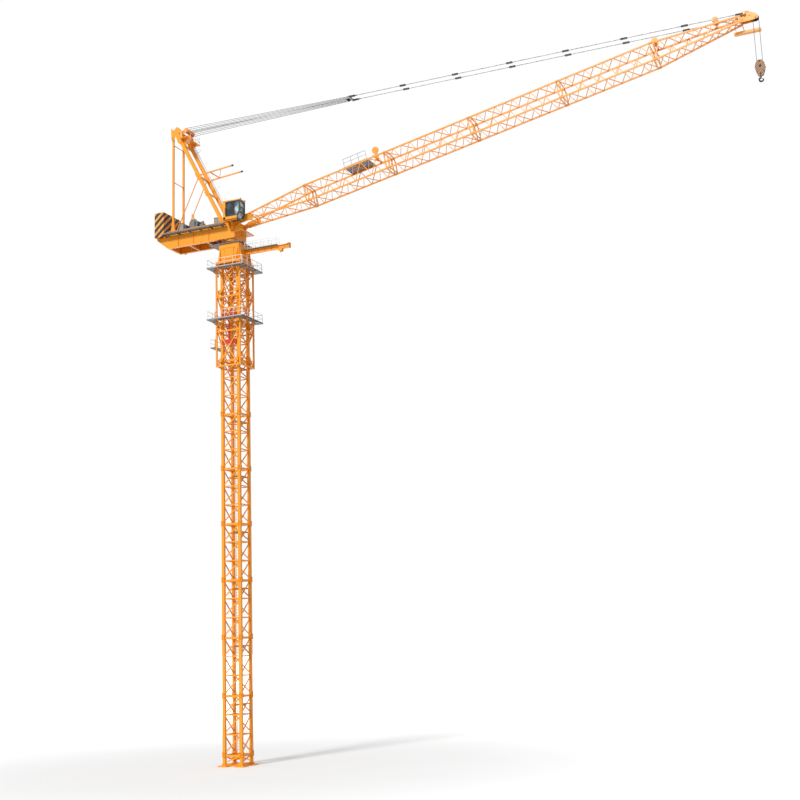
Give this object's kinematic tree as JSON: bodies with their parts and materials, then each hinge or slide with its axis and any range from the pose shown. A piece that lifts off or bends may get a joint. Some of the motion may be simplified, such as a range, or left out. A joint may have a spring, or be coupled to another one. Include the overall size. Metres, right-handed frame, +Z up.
{
  "type": "luffing tower crane 1:2 scale model",
  "caption": "1:2 scale model of a luffing tower crane: square lattice mast, climbing cage, counterweighted slewing upperworks, A-frame, pendant-held lattice jib, hook block.",
  "frame": {"origin": "on the ground plane, under the centre of the mast, at the centre of the foundation frame's underside", "axes": "+Z up the mast, +X along the jib as stored, +Y to the left of a driver looking along the jib"},
  "size_m": [33.7122, 2.4, 35.371],
  "materials": {
    "crane_orange": "semi-gloss orange paint",
    "grating": "galvanised, matt pale grey",
    "handrail": "pale grey paint",
    "ballast": "black and orange diagonal warning stripes",
    "machinery_grey": "satin grey paint",
    "drum_steel": "worn steel with wound rope",
    "red_steel": "red paint",
    "cab_body": "dark grey panels in an orange frame",
    "cab_glass": "tinted glass",
    "rope": "greased steel wire rope",
    "pendant": "grey bars with dark links",
    "hook_yellow": "yellow and black warning stripes",
    "hook_steel": "dark forged steel"
  },
  "bodies": {
    "mast": {"foundation_frame": "crane_orange", "mast_foot": "crane_orange", "mast_section_1": "crane_orange", "mast_section_2": "crane_orange", "mast_section_3": "crane_orange", "mast_section_4": "crane_orange", "mast_section_5": "crane_orange", "mast_section_6": "crane_orange", "mast_section_7": "crane_orange", "mast_section_8": "crane_orange", "mast_top_section": "crane_orange", "cage_side_right": "crane_orange", "cage_side_left": "crane_orange", "cage_side_front": "crane_orange", "cage_side_rear": "crane_orange", "cage_platforms": "grating", "cage_railings": "handrail", "climbing_gear": "red_steel", "slewing_support": "crane_orange", "slewing_platform": "grating", "monorail_beam": "crane_orange", "monorail_walkway": "grating", "monorail_railing": "handrail"},
    "upperworks": {"girder_right": "crane_orange", "girder_left": "crane_orange", "deck_frame": "crane_orange", "turntable": "crane_orange", "front_step": "crane_orange", "deck_walkways": "grating", "ballast_blocks": "ballast", "winch_frames": "machinery_grey", "aframe_legs": "crane_orange", "aframe_ties": "crane_orange", "aframe_struts": "crane_orange", "aframe_head": "crane_orange", "aframe_platform": "crane_orange", "jib_backstop": "crane_orange", "cab_frame": "cab_body", "cab_windows": "cab_glass", "cab_support": "crane_orange"},
    "luffing_drum": {"luffing_drum": "drum_steel"},
    "hoist_drum": {"hoist_drum": "drum_steel"},
    "jib": {"jib_butt": "crane_orange", "jib_section_1": "crane_orange", "jib_section_2": "crane_orange", "jib_section_3": "crane_orange", "jib_section_4": "crane_orange", "jib_tip_section": "crane_orange", "jib_head": "crane_orange", "jib_tip_platform": "crane_orange", "jib_platform": "grating", "jib_rollers": "crane_orange"},
    "pendants": {"pendant_lines": "pendant", "pendant_yoke": "pendant", "luffing_ropes": "rope"},
    "hoist_falls": {"head_sheave": "hook_steel", "hoist_ropes": "rope"},
    "hook_block": {"hook_block": "hook_yellow"},
    "hook": {"hook": "hook_steel"}
  },
  "joints": [
    {"name": "slewing", "type": "hinge", "parent": "mast", "child": "upperworks", "pos_m": [0, 0, 28.023], "axis": [0, 0, 1], "continuous": true},
    {"name": "luff", "type": "hinge", "parent": "upperworks", "child": "jib", "pos_m": [0.5, 0, 29.096], "axis": [0, -1, 0], "range_deg": [0, 66.47], "deforming": ["luffing_ropes"]},
    {"name": "pendant_swing", "type": "hinge", "parent": "jib", "child": "pendants", "pos_m": [28.30171, 0, 34.94609], "axis": [0, -1, 0], "range_deg": [-0.1, 1.1]},
    {"name": "rope_plumb", "type": "hinge", "parent": "jib", "child": "hoist_falls", "pos_m": [28.7822, 0, 34.692], "axis": [0, -1, 0], "range_deg": [-66.57, 0.1]},
    {"name": "hoist", "type": "slide", "parent": "hoist_falls", "child": "hook_block", "axis": [0, 0, -1], "range_m": [-0.5, 31], "deforming": ["hoist_ropes"]},
    {"name": "hook_swivel", "type": "hinge", "parent": "hook_block", "child": "hook", "pos_m": [28.7822, 0, 31.732], "axis": [0, 0, 1], "continuous": true},
    {"name": "luffing_drum_spin", "type": "hinge", "parent": "upperworks", "child": "luffing_drum", "pos_m": [-3.23, 0, 29.442], "axis": [0, 1, 0], "continuous": true},
    {"name": "hoist_drum_spin", "type": "hinge", "parent": "upperworks", "child": "hoist_drum", "pos_m": [-2.5, 0, 29.512], "axis": [0, 1, 0], "continuous": true}
  ],
  "couplings": [
    {"joint": "pendant_swing", "follows": "luff", "ratio": 0.01535},
    {"joint": "rope_plumb", "follows": "luff", "ratio": -1}
  ]
}
